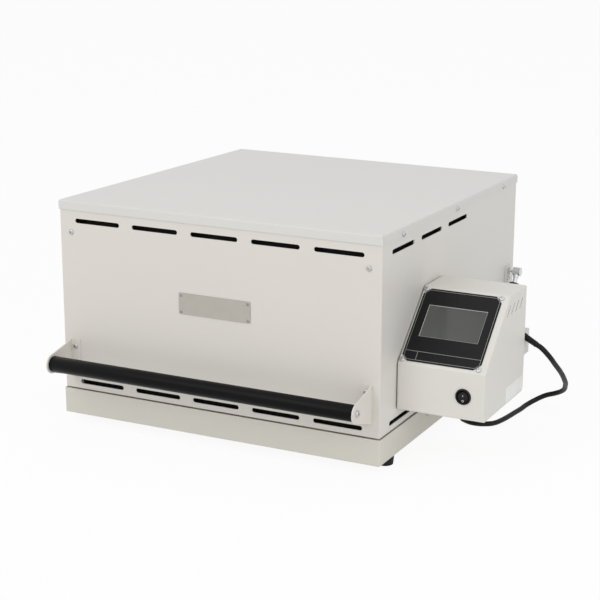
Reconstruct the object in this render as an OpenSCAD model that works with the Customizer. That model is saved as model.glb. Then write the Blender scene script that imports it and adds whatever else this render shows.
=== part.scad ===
// Bead annealing kiln: a clamshell hood of firebrick in a sheet steel casing, hinged at the back
// of a shallow base tray, held by two gas struts, with a control box and mains lead on the right.
// X runs to the right, Y to the back and Z up from the floor. The origin is on the floor under
// the middle of the kiln with its control box, leaving out the lead.

/* [Casing] */
// Width of the hood
hood_w = 560; // [520:5:600]
// Depth of the hood
hood_d = 580; // [560:5:620]
// Height of the hood, from the seam to its top
hood_h = 309; // [300:1:340]
// Height of the base tray
base_h = 42; // [40:1:46]
// How far the base stands out past the hood, each side
base_lip = 2.2; // [1.6:0.1:3]
// Gap between the base and the hood
seam_gap = 2; // [1.6:0.1:2.4]
// Thickness of the sheet steel
sheet_t = 1.5; // [1.2:0.1:1.8]
// Depth of the top cover's flange
flange_h = 14.8; // [13:0.2:18]
// How far the top cover stands out past the hood, each side
cover_lip = 1.6; // [1.4:0.1:2.4]
// Radius of the casing's bent edges
bend_r = 2.4; // [2:0.1:3]

/* [Firebrick] */
// Thickness of the brick walls and ceiling
brick_t = 63.5; // [50:0.5:70]
// Air gap between the casing and the inner case
air_gap = 18; // [16:0.5:20]
// Thickness of the inner case
case_t = 0.8; // [0.6:0.1:1]
// Height of the hearth board over the floor bricks
hearth_t = 4; // [3:0.5:4.5]
// Width of the sheet frame's opening past the chamber, each side
ledge = 46; // [42:1:50]

/* [Slots] */
// Number of slots in a front row
slot_n = 5; // [3:1:5]
// Number of slots in a side row
side_slot_n = 3; // [1:1:5]
// Length of a slot
slot_len = 82; // [70:1:84]
// Height of a slot
slot_h = 7.4; // [6:0.2:8.4]
// Distance between slots in the front rows
slot_pitch_x = 105.3; // [100:0.1:107]
// Distance between slots in the side rows
slot_pitch_y = 110.2; // [106:0.1:112]
// Distance from the hood's front to the middle of the first side slot
side_slot_in = 76.6; // [70:0.1:84]
// Height of the lower rows over the seam
slot_low = 12; // [10:0.5:14]
// Depth of the upper rows below the hood's top
slot_high = 31.5; // [28:0.5:36]

/* [Handle] */
// Diameter of the bar
bar_d = 25.4; // [22:0.2:28]
// Distance from the front panel to the bar's middle
bar_out = 53; // [48:1:60]
// Height of the bar's middle over the seam
bar_up = 54; // [50:1:58]
// Thickness of the bracket plate
bracket_t = 2; // [1.5:0.5:4]
// Distance from the hood's side to the bracket
bracket_in = 12.5; // [12:0.5:20]
// Width of the bracket's inner flange
bracket_flange = 18; // [16:1:22]
// Height of the bracket where it meets the panel
bracket_h = 62.5; // [58:0.5:66]

/* [Feet] */
// Height of a foot
foot_h = 15; // [12:1:18]
// Diameter of a foot at the floor
foot_d = 25; // [22:1:30]
// Distance from the base's sides to a foot's middle
foot_side_in = 15.6; // [15:0.1:24]
// Distance from the base's front and back to a foot's middle
foot_end_in = 55.5; // [40:0.5:80]

/* [Hinge] */
// Radius of the hinge pin
pin_r = 2; // [1.6:0.1:2.4]
// Outer radius of a knuckle
knuckle_r = 4.2; // [3.8:0.1:4.6]
// Number of knuckles
knuckle_n = 12; // [8:2:16]
// Length of the hinge
hinge_len = 480; // [420:10:500]
// Width of a leaf beside the knuckles
leaf_h = 30; // [26:1:32]
// Thickness of a leaf
leaf_t = 2; // [1.6:0.1:2.4]
// Angle that the hood opens to
open_angle = 60; // [40:1:60]

/* [Gas struts] */
// Distance of the upper ball ahead of the hinge
strut_top_ahead = 39; // [36:0.5:42]
// Height of the upper ball over the hinge
strut_top_up = 141; // [136:0.5:146]
// Distance of the lower ball ahead of the hinge
strut_low_ahead = 144; // [142:0.5:148]
// Depth of the lower ball below the hinge
strut_low_down = 22; // [20:0.5:25]
// Distance of the strut's middle from the hood's side
strut_out = 19; // [18:0.5:22]
// Diameter of the tube
tube_d = 18; // [16:0.5:19]
// Diameter of the rod
rod_d = 8; // [6:0.5:8]
// Distance from the upper ball to the tube's end when shut
rod_shows = 23; // [22:0.5:28]
// Radius of the balls
ball_r = 5; // [4.5:0.1:5.5]

/* [Control box] */
// Width of the box
box_w = 141; // [138:1:150]
// Depth of the box
box_d = 174.7; // [170:0.1:180]
// Height of the box
box_h = 171; // [168:1:180]
// Height of the box's upright front
box_front_h = 74; // [72:1:80]
// Depth of the box's flat top
box_top_d = 73.5; // [70:0.5:78]
// Gap between the box and the hood's side
box_gap = 1.6; // [1.4:0.1:2.4]
// Height of the box over the base's top edge
box_up = 31.7; // [28:0.1:36]
// Distance from the kiln's middle back to the box's front, towards the front
box_ahead = 232.5; // [225:0.5:240]
// Width of the dark front plate
face_w = 127; // [124:1:130]
// Gap along the slope under the dark front plate
face_low = 5.3; // [4:0.1:8]
// Gap along the slope over the dark front plate
face_high = 4.9; // [4:0.1:8]
// Width of the screen
screen_w = 95; // [90:1:100]
// Length of the screen along the slope
screen_h = 56.5; // [52:0.5:60]
// Diameter of the round rocker switch
rocker_d = 23; // [20:0.5:25]
// Angle that the rocker tips through
rocker_angle = 16; // [12:1:18]

/* [Name plate] */
// Width of the plate
plate_w = 126; // [110:1:140]
// Height of the plate
plate_h = 34; // [30:1:40]
// Height of the plate's middle over the seam
plate_up = 166.7; // [150:0.1:180]

/* [Mains lead] */
// Diameter of the lead
lead_d = 8.4; // [7.8:0.1:9]
// Length of the strain relief
relief_len = 24; // [20:1:30]
// Radius of the coil's outer turn, at the middle of the lead
coil_r = 53; // [50:1:56]
// Turns in the coil
coil_turns = 3; // [2:1:3]

/* [Fits] */
// Gap between a piece and its seat
seat = 0.2; // [0.1:0.05:0.3]
// Radial gap of a screw in its hole
hole_play = 0.2; // [0.1:0.05:0.3]
// Radial gap of a pin or ball that turns
turn_play = 0.08; // [0.05:0.01:0.1]
// Radius of a casing screw's shank
screw_r = 2; // [1.6:0.1:2.2]
// Radius of a casing screw's head
head_r = 4.2; // [3.6:0.1:4.6]

/* [Hidden] */
$fn = 48;

// Heights
base_top = foot_h + base_h;
hood_low = base_top + seam_gap;
hood_top = hood_low + hood_h;
cover_under = hood_top - sheet_t;
// Half sizes of the casing
side_x = hood_w / 2;
front_y = hood_d / 2;
base_x = side_x + base_lip;
base_y = front_y + base_lip;
// Half sizes of the inner case, the brick block and the chamber
case_x = side_x - sheet_t - air_gap;
case_y = front_y - sheet_t - air_gap;
case_top = cover_under - air_gap;
brick_x = case_x - case_t - seat;
brick_y = case_y - case_t - seat;
brick_top = case_top - case_t - seat;
room_x = brick_x - brick_t;
room_y = brick_y - brick_t;
room_top = brick_top - brick_t;
brick_low = hood_low + sheet_t + seat;
floor_z = base_top - 1;
// Hinge line
hinge_y = base_y + seat + knuckle_r;
hinge_z = base_top + seam_gap / 2;
leaf_y = hinge_y - knuckle_r;
knuckle_pitch = hinge_len / knuckle_n;
knuckle_gap = 0.6;
leaf_clear = 0.8;
// Ends of the gas struts
strut_x = side_x + strut_out;
upper_y = hinge_y - strut_top_ahead;
upper_z = hinge_z + strut_top_up;
lower_y = hinge_y - strut_low_ahead;
lower_z = hinge_z - strut_low_down;
strut_rise = [upper_y - lower_y, upper_z - lower_z];
strut_len = norm(strut_rise);
strut_lean = atan2(strut_rise.x, strut_rise.y);
open_y = hinge_y - strut_top_ahead * cos(open_angle) + strut_top_up * sin(open_angle);
open_z = hinge_z + strut_top_ahead * sin(open_angle) + strut_top_up * cos(open_angle);
stroke = norm([open_y - lower_y, open_z - lower_z]) - strut_len;
tube_len = strut_len - rod_shows;
rod_len = rod_shows + stroke + 30;
tube_wall = 2;
piston_play = 0.4;
socket_r = ball_r + 3;
socket_out = 7;
stud_neck_r = 3;
// Control box corners
box_x0 = side_x + box_gap;
box_x1 = box_x0 + box_w;
box_y0 = -box_ahead;
box_y1 = box_y0 + box_d;
box_z0 = base_top + box_up;
box_z1 = box_z0 + box_h;
slope_run = box_d - box_top_d;
slope_rise = box_h - box_front_h;
slope_angle = atan2(slope_rise, slope_run);
slope_len = norm([slope_run, slope_rise]);
face_h = slope_len - face_low - face_high;
face_mid = face_low + face_h / 2;
box_mid = (box_x0 + box_x1) / 2;
face_x = box_mid - 3.5;
face_t = 0.8;
face_cut = 10.4;
// Handle
bar_y = -front_y - bar_out;
bar_z = hood_low + bar_up;
nose_r = 15.5;
bar_head_r = 5.4;
bracket_x = side_x - bracket_in;
bracket_z0 = hood_low + 20.5;
bracket_z1 = bracket_z0 + bracket_h;
// Rocker switch
rocker_x = 389;
rocker_z = box_z0 + 36;
// Outlet of the lead on the back of the box
outlet_x1 = box_x1 - 5.6;
outlet_len = 42;
outlet_y1 = box_y1 + 39;
outlet_h = 38.6;
outlet_z0 = box_z0 + 52.8;
exit_at = [outlet_x1, box_y1 + 15, outlet_z0 + 31.5];
exit_tilt = 28;
relief_tip = exit_at + relief_len * [cos(exit_tilt), 0, -sin(exit_tilt)];
// Origin, from the outermost pieces on each side
ref_x = (box_x1 - strut_x - socket_out) / 2;
ref_y = (hinge_y + knuckle_r + bar_y - nose_r) / 2;

// Route of the lead from the strain relief to the coil, before the shift to the origin
lead_low = lead_d / 2;
coil_lift = 1.2;
lead_route = [
    [456.5, -38, 145.5], [462, -18, 126], [463, 14, 103], [459, 50, 79], [448, 92, 56.5],
    [436, 118, 38], [420.5, 128, 28], [402, 132, 20], [389, 128, 13], [376.5, 112, 6],
    [373, 90, 4.2], [370, 67, 4.2], [367, 43, 4.2], [363, 20, 4.2], [356, 0, 4.2],
    [344, -10, 4.2], [329, -14, 4.2], [313, -10, 4.2], [300, 1, 4.2], [294, 20, 4.2],
    [293, 46, 4.2], [293, 80, 4.2], [293, 120, 4.2], [293, 160, 4.2], [293, 200, 4.2],
    [293, 240, 4.2], [291, 270, 4.2], [284, 298, 4.2], [266, 318, 4.8], [243, 328, 5.4]
];
coil_at = [205, 328 + coil_r, lead_low + coil_lift];

// Direction of a vector
function unit(v) = v / norm(v);
// One corner of a polygon, rounded to radius r in n steps
function corner(a, b, c, r, n) =
    let (
        u = unit(a - b),
        w = unit(c - b),
        half = acos(u * w) / 2,
        mid = b + unit(u + w) * r / sin(half),
        p = b + u * r / tan(half) - mid,
        q = b + w * r / tan(half) - mid,
        first = atan2(p.y, p.x),
        turn = atan2(q.y, q.x) - first,
        sweep = turn > 180 ? turn - 360 : turn < -180 ? turn + 360 : turn
    )
    r <= 0 ? [b] : [for (i = [0:n]) mid + r * [cos(first + sweep * i / n), sin(first + sweep * i / n)]];
// A polygon with its corners rounded, one radius for each corner
function rounded(points, radii, n = 5) =
    let (last = len(points) - 1)
    [for (i = [0:last])
        each corner(points[i == 0 ? last : i - 1], points[i], points[i == last ? 0 : i + 1], radii[i], n)];
// A rectangle from its low corner to its high corner
function rect(a, b) = [a, [b.x, a.y], b, [a.x, b.y]];
// Places in a row of n, spaced by pitch about the middle
function row(n, pitch) = [for (i = [0:n - 1]) (i - (n - 1) / 2) * pitch];

// Puts the kiln's own middle where the origin is
module placed() translate([-ref_x, -ref_y, 0]) children();
module block(from, to) translate(from) cube(to - from);
// Prisms along each axis: the polygon is in YZ, XZ and XY
module prism_x(points, from, to)
    translate([from, 0, 0]) rotate([90, 0, 90]) linear_extrude(to - from) polygon(points);
module prism_y(points, from, to)
    translate([0, to, 0]) rotate([90, 0, 0]) linear_extrude(to - from) polygon(points);
module prism_z(points, from, to)
    translate([0, 0, from]) linear_extrude(to - from) polygon(points);
module both_sides() {
    children();
    mirror([1, 0, 0]) children();
}
module on_side(side) {
    if (side > 0) children();
    else mirror([1, 0, 0]) children();
}
// A screw with its head's seat at z = 0 and its shank going down
module screw(r, head, rise, length) {
    difference() {
        rotate_extrude()
            polygon(rounded([[0, 0], [head, 0], [head, rise], [0, rise]], [0, 0.2, rise * 0.8, 0], 4));
        for (turn = [0, 90])
            rotate([0, 0, turn]) translate([0, 0, rise])
                cube([head * 1.1, head * 0.22, rise], center = true);
    }
    translate([0, 0, -length]) cylinder(r = r, h = length + 0.01);
}
// A blind rivet with its head's seat at z = 0
module rivet(r, head, length) {
    rotate_extrude()
        polygon(rounded([[0, 0], [head, 0], [head * 0.5, head * 0.4], [0, head * 0.4]], [0, 0, head * 0.4, 0], 4));
    translate([0, 0, -length]) cylinder(r = r, h = length + 0.01);
}
// Turns what points up to point out of a side
module face_front() rotate([90, 0, 0]) children();
module face_back() rotate([-90, 0, 0]) children();
module face_right() rotate([0, 90, 0]) children();
module slot_through(length, height, depth) {
    cube([length - height, depth, height], center = true);
    for (s = [-1, 1])
        translate([s * (length - height) / 2, 0, 0]) rotate([90, 0, 0])
            cylinder(d = height, h = depth, center = true);
}
// The on-slope frame of the control box: X right, Y up the slope, Z out of it
module on_slope()
    translate([face_x, box_y0, box_z0 + box_front_h]) rotate([slope_angle, 0, 0]) children();

cut = 40;
slot_rows = [hood_low + slot_low, hood_top - slot_high];
panel_screw_x = side_x - 20.5;
panel_screw_z = [hood_low + 128, hood_top - 50.5];
// The front has only the upper row of panel screws
function panel_rows(s) = s < 0 ? [panel_screw_z[1]] : panel_screw_z;
flange_screw_y = row(3, 218.5);
flange_screw_z = hood_top - 11;
plate_z = hood_low + plate_up;
rivet_at = [for (x = [-1, 1]) for (z = [-1, 1]) [x * (plate_w / 2 - 4.3), z * (plate_h / 2 - 3.9)]];
handle_screw_x = bracket_x - bracket_t - 7.5;
handle_screw_z = [bracket_z0 + 12, bracket_z1 - 12.5];
hinge_rivet_x = row(6, hinge_len / 6);

// Base

module base_pan() color([0.78, 0.77, 0.73]) placed() {
    difference() {
        intersection() {
            prism_z(rounded(rect([-base_x, -base_y], [base_x, base_y]), [bend_r, bend_r, bend_r, bend_r]),
                foot_h, base_top);
            prism_y(rounded(rect([-base_x, foot_h], [base_x, base_top]), [bend_r, bend_r, 0, 0]), -base_y, base_y);
            prism_x(rounded(rect([-base_y, foot_h], [base_y, base_top]), [bend_r, bend_r, 0, 0]), -base_x, base_x);
        }
        block([-base_x + sheet_t, -base_y + sheet_t, foot_h + sheet_t],
            [base_x - sheet_t, base_y - sheet_t, base_top + 1]);
        for (at = feet_at) translate([at.x, at.y, foot_h - 1]) cylinder(r = screw_r + hole_play, h = sheet_t + 2);
        for (x = hinge_rivet_x) translate([x, base_y, base_rivet_z]) face_back()
            cylinder(r = rivet_r + hole_play, h = 10, center = true);
        both_sides() for (at = low_rivets) translate([base_x, at.x, at.y]) face_right()
            cylinder(r = rivet_r + hole_play, h = 10, center = true);
        for (at = arm_rivets) translate([base_x, at.x, at.y]) face_right()
            cylinder(r = rivet_r + hole_play, h = 10, center = true);
    }
}
rivet_r = 1.6;
feet_at = [for (x = [-1, 1]) for (y = [-1, 1]) [x * (base_x - foot_side_in), y * (base_y - foot_end_in)]];
base_rivet_z = hinge_z - 16;

// Slabs of firebrick with the joints between the bricks cut in
module floor_bricks() color([0.93, 0.88, 0.78]) placed()
    difference() {
        block([-base_x + sheet_t + 2, -base_y + sheet_t + 2, foot_h + sheet_t + seat],
            [base_x - sheet_t - 2, base_y - sheet_t - 2, floor_z]);
        for (x = row(3, 140)) block([x - 0.5, -front_y - 10, floor_z - 2], [x + 0.5, front_y + 10, floor_z + 1]);
        for (y = row(4, 115)) block([-side_x - 10, y - 0.5, floor_z - 2], [side_x + 10, y + 0.5, floor_z + 1]);
        for (at = feet_at) translate([at.x, at.y, foot_h]) cylinder(r = screw_r + 3, h = 14);
    }
module hearth_board() color([0.95, 0.94, 0.9]) placed()
    block([-room_x - ledge + 6, -room_y - ledge + 6, floor_z + seat],
        [room_x + ledge - 6, room_y + ledge - 6, floor_z + seat + hearth_t]);

module feet() color([0.09, 0.09, 0.09]) placed()
    for (at = feet_at) translate([at.x, at.y, 0]) difference() {
        rotate_extrude() polygon(rounded([[0, 0], [foot_d / 2, 0], [foot_d / 2 + 1.5, foot_h - seat],
            [0, foot_h - seat]], [0, 1.2, 1, 0]));
        translate([0, 0, -1]) cylinder(r = screw_r + hole_play, h = foot_h + 2);
        translate([0, 0, -1]) cylinder(r = head_r + 1, h = 7);
    }
module foot_screws() color([0.75, 0.75, 0.76]) placed()
    for (at = feet_at) translate([at.x, at.y, 6 - seat]) rotate([180, 0, 0])
        screw(screw_r, head_r, 2.4, foot_h + 4);

// Hinge

// Every other knuckle along the hinge, starting with the first or the second
module knuckles(first) for (i = [first:2:knuckle_n - 1])
    translate([-hinge_len / 2 + i * knuckle_pitch + knuckle_gap / 2, 0, 0]) children();
module knuckle(up) {
    face_right() cylinder(r = knuckle_r, h = knuckle_pitch - knuckle_gap);
    translate([0, -knuckle_r, up > 0 ? 0 : -knuckle_r - leaf_clear - 1])
        cube([knuckle_pitch - knuckle_gap, leaf_t, knuckle_r + leaf_clear + 1]);
}
module hinge_leaf(first, up) difference() {
    union() {
        translate([0, hinge_y, hinge_z]) knuckles(first) knuckle(up);
        translate([-hinge_len / 2, leaf_y, up > 0 ? hinge_z + knuckle_r + leaf_clear : hinge_z - leaf_h])
            cube([hinge_len, leaf_t, leaf_h - knuckle_r - leaf_clear]);
    }
    translate([-hinge_len / 2 - 1, hinge_y, hinge_z]) face_right()
        cylinder(r = pin_r + (up > 0 ? turn_play : hinge_hold), h = hinge_len + 2);
    for (x = hinge_rivet_x) translate([x, leaf_y, up > 0 ? hood_rivet_z : base_rivet_z]) face_back()
        cylinder(r = rivet_r + hole_play, h = 10, center = true);
}
hinge_hold = 0.02;
hood_rivet_z = hinge_z + 18;
module hinge_leaf_base() color([0.72, 0.72, 0.73]) placed() hinge_leaf(0, -1);
module hinge_leaf_hood() color([0.72, 0.72, 0.73]) placed() hinge_leaf(1, 1);
module hinge_pin() color([0.6, 0.6, 0.62]) placed()
    translate([-hinge_len / 2 - 2, hinge_y, hinge_z]) face_right() cylinder(r = pin_r, h = hinge_len + 4);
module hinge_spacer() color([0.72, 0.72, 0.73]) placed() difference() {
    block([-hinge_len / 2, front_y + 0.1, hinge_z + knuckle_r + leaf_clear + 1],
        [hinge_len / 2, leaf_y - 0.1, hinge_z + leaf_h]);
    for (x = hinge_rivet_x) translate([x, front_y, hood_rivet_z]) face_back()
        cylinder(r = rivet_r + hole_play, h = 10, center = true);
}
module base_rivets() color([0.75, 0.75, 0.76]) placed() {
    for (x = hinge_rivet_x) translate([x, leaf_y + leaf_t + 0.05, base_rivet_z]) face_back()
        rivet(rivet_r, rivet_r * 1.8, leaf_t + sheet_t + 1.6);
    both_sides() for (at = low_rivets) translate([base_x + 0.15 + strut_plate_t, at.x, at.y]) face_right()
        rivet(rivet_r, rivet_r * 1.8, strut_plate_t + sheet_t + 1.4);
    for (at = arm_rivets) translate([base_x + 0.15 + arm_t, at.x, at.y]) face_right()
        rivet(rivet_r, rivet_r * 1.8, arm_t + sheet_t + 1.4);
}
module hinge_rivets_hood() color([0.75, 0.75, 0.76]) placed()
    for (x = hinge_rivet_x) translate([x, leaf_y + leaf_t + 0.05, hood_rivet_z]) face_back()
        rivet(rivet_r, rivet_r * 1.8, leaf_t + base_lip + sheet_t + 2.6);

// Gas struts

strut_plate_t = 2.5;
hood_plate = [24, 43];
hood_plate_low = 34;
low_plate = [34, 26];
low_rivets = [for (s = [-1, 1]) [lower_y + s * 11, lower_z]];
hood_plate_screws = [for (down = [14, 27]) [upper_y, upper_z - down]];
module strut_hood_brackets() color([0.82, 0.81, 0.78]) placed() both_sides() difference() {
    translate([side_x + 0.1, upper_y - hood_plate.x / 2, upper_z - hood_plate_low])
        cube([strut_plate_t, hood_plate.x, hood_plate.y]);
    for (at = hood_plate_screws) translate([side_x, at.x, at.y]) face_right()
        cylinder(r = screw_r + hole_play, h = 20, center = true);
    translate([side_x, upper_y, upper_z]) face_right() cylinder(r = stud_neck_r + 0.05, h = 20, center = true);
}
module strut_base_brackets() color([0.82, 0.81, 0.78]) placed() both_sides() difference() {
    translate([base_x + 0.1, lower_y - low_plate.x / 2, lower_z - low_plate.y / 2])
        cube([strut_plate_t, low_plate.x, low_plate.y]);
    for (at = low_rivets) translate([base_x, at.x, at.y]) face_right()
        cylinder(r = rivet_r + hole_play, h = 20, center = true);
    translate([base_x, lower_y, lower_z]) face_right() cylinder(r = stud_neck_r + 0.05, h = 20, center = true);
}
// A ball stud: its shank through the plate, hexagon, neck and ball
module ball_stud(plate_x) {
    hex_x = plate_x + strut_plate_t + 0.1;
    translate([plate_x + 0.1, 0, 0]) face_right() cylinder(r = stud_neck_r, h = strut_x - plate_x - ball_r * 0.6);
    translate([hex_x + 0.05, 0, 0]) face_right() cylinder(r = 6.4, h = 5, $fn = 6);
    translate([strut_x, 0, 0]) sphere(ball_r);
}
module strut_hood_studs() color([0.7, 0.7, 0.72]) placed() both_sides()
    translate([0, upper_y, upper_z]) ball_stud(side_x);
module strut_base_studs() color([0.7, 0.7, 0.72]) placed() both_sides()
    translate([0, lower_y, lower_z]) ball_stud(base_x);
// A ball socket with its neck up, and its mouth towards the kiln
module ball_socket(neck) difference() {
    union() {
        translate([-6, 0, 0]) face_right() cylinder(r = socket_r, h = 6 + socket_out);
        cylinder(r = 5, h = neck);
    }
    sphere(ball_r + turn_play);
    translate([-20, 0, 0]) face_right() cylinder(r = stud_neck_r + 0.9, h = 20);
}
module strut_frame(side, y, z) placed() on_side(side)
    translate([strut_x, y, z]) rotate([-strut_lean, 0, 0]) children();
module strut_tube(side) color([0.07, 0.07, 0.07]) strut_frame(side, lower_y, lower_z) {
    ball_socket(13);
    difference() {
        union() {
            translate([0, 0, 12]) cylinder(d = tube_d, h = tube_len - 12);
            translate([0, 0, 11]) cylinder(d = tube_d - 5, h = 2);
        }
        translate([0, 0, 16]) cylinder(d = tube_d - 2 * tube_wall, h = tube_len - 16 - 6);
        translate([0, 0, 16]) cylinder(d = rod_d + 2 * piston_play + 0.4, h = tube_len);
    }
}
module strut_rod(side) color([0.8, 0.8, 0.82]) strut_frame(side, upper_y, upper_z)
    rotate([180, 0, 0]) {
        ball_socket(12);
        translate([0, 0, 10]) cylinder(d = rod_d, h = rod_len - 10);
        translate([0, 0, rod_len - 8]) cylinder(d = tube_d - 2 * tube_wall - 2 * piston_play, h = 8);
    }
module strut_tube_left() strut_tube(-1);
module strut_tube_right() strut_tube(1);
module strut_rod_left() strut_rod(-1);
module strut_rod_right() strut_rod(1);

// Control box

box_side_r = 3;
function box_outline(inset) =
    let (
        t = inset,
        run = t * tan((90 - slope_angle) / 2),
        low = t * tan(slope_angle / 2)
    )
    [[box_y0 + t, box_z0 + t], [box_y1 - t, box_z0 + t], [box_y1 - t, box_z1 - t],
     [box_y0 + slope_run + low, box_z1 - t], [box_y0 + t, box_z0 + box_front_h - run]];
module box_solid() intersection() {
    prism_x(rounded(box_outline(0), [2, 0, 0, bend_r * 2, bend_r * 2]), box_x0, box_x1);
    // The side edges of the front, the slope and the top are rounded
    prism_z(rounded(rect([box_x0, box_y0], [box_x1, box_y1]), [box_side_r, box_side_r, 0, 0]), box_z0, box_z1);
    prism_y(rounded(rect([box_x0, box_z0], [box_x1, box_z1]), [0, 0, box_side_r, box_side_r]), box_y0, box_y1);
    translate([0, box_y0, box_z0 + box_front_h]) rotate([slope_angle, 0, 0]) translate([0, -box_h, 0])
        prism_y(rounded(rect([box_x0, -box_h], [box_x1, 0]), [0, 0, box_side_r, box_side_r]), 0, 3 * box_h);
}
vent_n = 4;
vent_from = [94.9, 22.7];
vent_pitch = 18.8;
vent_len = 20.1;
vent_t = 2.4;
vent_lean = 43;
module box_shell() color([0.82, 0.81, 0.78]) placed() difference() {
    box_solid();
    prism_x(box_outline(sheet_t), box_x0 + sheet_t, box_x1 - sheet_t);
    // Open back, closed by the back plate
    block([box_x0 + sheet_t, box_y1 - sheet_t - 1, box_z0 + sheet_t],
        [box_x1 - sheet_t, box_y1 + 1, box_z1 - sheet_t]);
    // Slanted vents in the outer side
    for (i = [0:vent_n - 1])
        translate([box_x1, box_y0 + vent_from.x + i * vent_pitch, box_z1 - vent_from.y])
            rotate([-vent_lean, 0, 0]) cube([8, vent_t, vent_len], center = true);
    // Window for the screen, holes for the face screws and the switch
    on_slope() {
        translate([0, screen_y, 0]) cube([screen_w - 4, screen_h - 4, 8], center = true);
        for (at = face_screw_at) translate([at.x, at.y, 0]) cylinder(r = 1.5 + hole_play, h = 12, center = true);
    }
    translate([rocker_x, box_y0, rocker_z]) face_front() cylinder(d = rocker_d - 2, h = 10, center = true);
    for (x = arm_screws) translate([x, arm_y, box_z0]) cylinder(r = screw_r + hole_play, h = 8, center = true);
    for (x = back_screw_x) translate([x, box_y1 - 7, box_z0]) cylinder(r = 1.5 + hole_play, h = 8, center = true);
    // Bend reliefs at the corners of the slope's lower fold
    for (x = [box_x0, box_x1]) translate([x, box_y0, box_z0 + box_front_h]) face_right()
        cylinder(r = 1.2, h = 1.2, center = true);
}
module box_back() color([0.82, 0.81, 0.78]) placed() difference() {
    union() {
        block([box_x0 + sheet_t + seat, box_y1 - sheet_t, box_z0 + sheet_t + seat],
            [box_x1 - sheet_t - seat, box_y1, box_z1 - sheet_t - seat]);
        // Returns along its foot and its head
        for (z = [box_z0 + sheet_t + seat, box_z1 - 2 * sheet_t - seat])
            block([box_x0 + 8, box_y1 - 14, z], [box_x1 - 8, box_y1 - 0.5, z + sheet_t]);
    }
    translate([outlet_mid, box_y1, outlet_z0 + outlet_h / 2]) face_back() cylinder(r = 9, h = 10, center = true);
    for (s = [-1, 1]) translate([outlet_mid + s * 14, box_y1, outlet_z0 + 6]) face_back()
        cylinder(r = 1.5 + hole_play, h = 10, center = true);
    for (x = back_screw_x) translate([x, box_y1 - 7, box_z0]) cylinder(r = 1.5 + hole_play, h = 12, center = true);
}
back_screw_x = [box_x0 + 20, box_x1 - 20];
// The dark plate: its corners are cut away round the screws
function face_outline(w, low, high, c) =
    [[-w / 2 + c, low], [w / 2 - c, low], [w / 2, low + c], [w / 2, high - c],
     [w / 2 - c, high], [-w / 2 + c, high], [-w / 2, high - c], [-w / 2, low + c]];
screen_y = face_mid + 7.5;
face_screw_at = [for (x = [-1, 1]) for (y = [-1, 1]) [x * (face_w / 2 - 2.1), face_mid + y * (face_h / 2 - 1.7)]];
module face_plate() color([0.06, 0.06, 0.065]) placed() on_slope() difference() {
    prism_z(face_outline(face_w, face_mid - face_h / 2, face_mid + face_h / 2, face_cut), 0.05, face_t);
    translate([0, screen_y, 0]) cube([screen_w, screen_h, 4], center = true);
}
module screen_glass() color([0.3, 0.31, 0.31]) placed() on_slope()
    translate([0, screen_y, face_t / 2 + 0.1]) cube([screen_w - 0.4, screen_h - 0.4, face_t], center = true);
module face_screws() color([0.78, 0.78, 0.8]) placed() on_slope()
    for (at = face_screw_at) translate([at.x, at.y, 0.05]) screw(1.5, 4.3, 2.4, 9);
module box_screws() color([0.78, 0.78, 0.8]) placed() {
    for (x = arm_screws) translate([x, arm_y, box_z0 - 0.15 - arm_t]) rotate([180, 0, 0])
        screw(screw_r, head_r, 2.4, arm_t + 6);
    for (x = back_screw_x) translate([x, box_y1 - 7, box_z0 - 0.05]) rotate([180, 0, 0]) screw(1.5, 3, 1.8, 6);
    for (s = [-1, 1]) translate([outlet_mid + s * 14, outlet_y1 + 0.05, outlet_z0 + 6]) face_back()
        screw(1.5, 3, 1.8, outlet_y1 - box_y1 + 6);
}
module display_module() color([0.1, 0.3, 0.2]) placed() on_slope() {
    translate([0, screen_y, -sheet_t - seat - 5]) cube([screen_w + 10, screen_h + 12, 10], center = true);
    for (x = [-40, 40]) translate([x, screen_y, -sheet_t - 14]) cube([6, 30, 9], center = true);
}
// Boards stand on the floor of the box on pillars
board_z = box_z0 + sheet_t + 10;
module control_board() color([0.1, 0.32, 0.2]) placed() {
    block([box_x0 + 14, box_y0 + 40, board_z], [box_x1 - 46, box_y1 - 20, board_z + 1.6]);
    for (x = [box_x0 + 20, box_x1 - 52]) for (y = [box_y0 + 46, box_y1 - 26])
        translate([x, y, box_z0 + sheet_t + seat]) cylinder(r = 3, h = board_z - box_z0 - sheet_t);
    block([box_x0 + 26, box_y0 + 56, board_z + 1.5], [box_x0 + 56, box_y0 + 80, board_z + 14]);
}
module relays() color([0.12, 0.12, 0.13]) placed()
    for (i = [0, 1]) translate([box_x0 + 30 + i * 34, box_y1 - 60, board_z + 1.6 + seat]) cube([26, 30, 26]);
module terminal_block() color([0.85, 0.83, 0.75]) placed() difference() {
    block([box_x1 - 36, box_y1 - 90, box_z0 + sheet_t + seat], [box_x1 - 16, box_y1 - 20, box_z0 + sheet_t + 18]);
    for (i = [0:4]) translate([box_x1 - 26, box_y1 - 83 + i * 14, box_z0 + 12]) cylinder(r = 3, h = 20);
}
module switch_body() color([0.06, 0.06, 0.06]) placed()
    translate([rocker_x, box_y0, rocker_z]) face_front() difference() {
        union() {
            translate([0, 0, 0.05]) rotate_extrude() polygon(rounded(
                [[0, 0], [rocker_d / 2 + 1, 0], [rocker_d / 2 + 0.6, 2], [0, 2]], [0, 0.3, 0.9, 0]));
            translate([0, 0, -22]) cylinder(d = rocker_d - 2 - 2 * seat, h = 22.1);
        }
        translate([0, 0, -9]) cylinder(d = rocker_d - 3.4, h = 14);
        translate([0, 0, -rocker_in]) face_right() cylinder(r = axle_r + turn_play, h = rocker_d, center = true);
    }
// The rocker turns on an axle that ends in the wall of the switch
rocker_in = 3;
axle_r = 1.5;
axle_len = rocker_d - 2.6;
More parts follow.
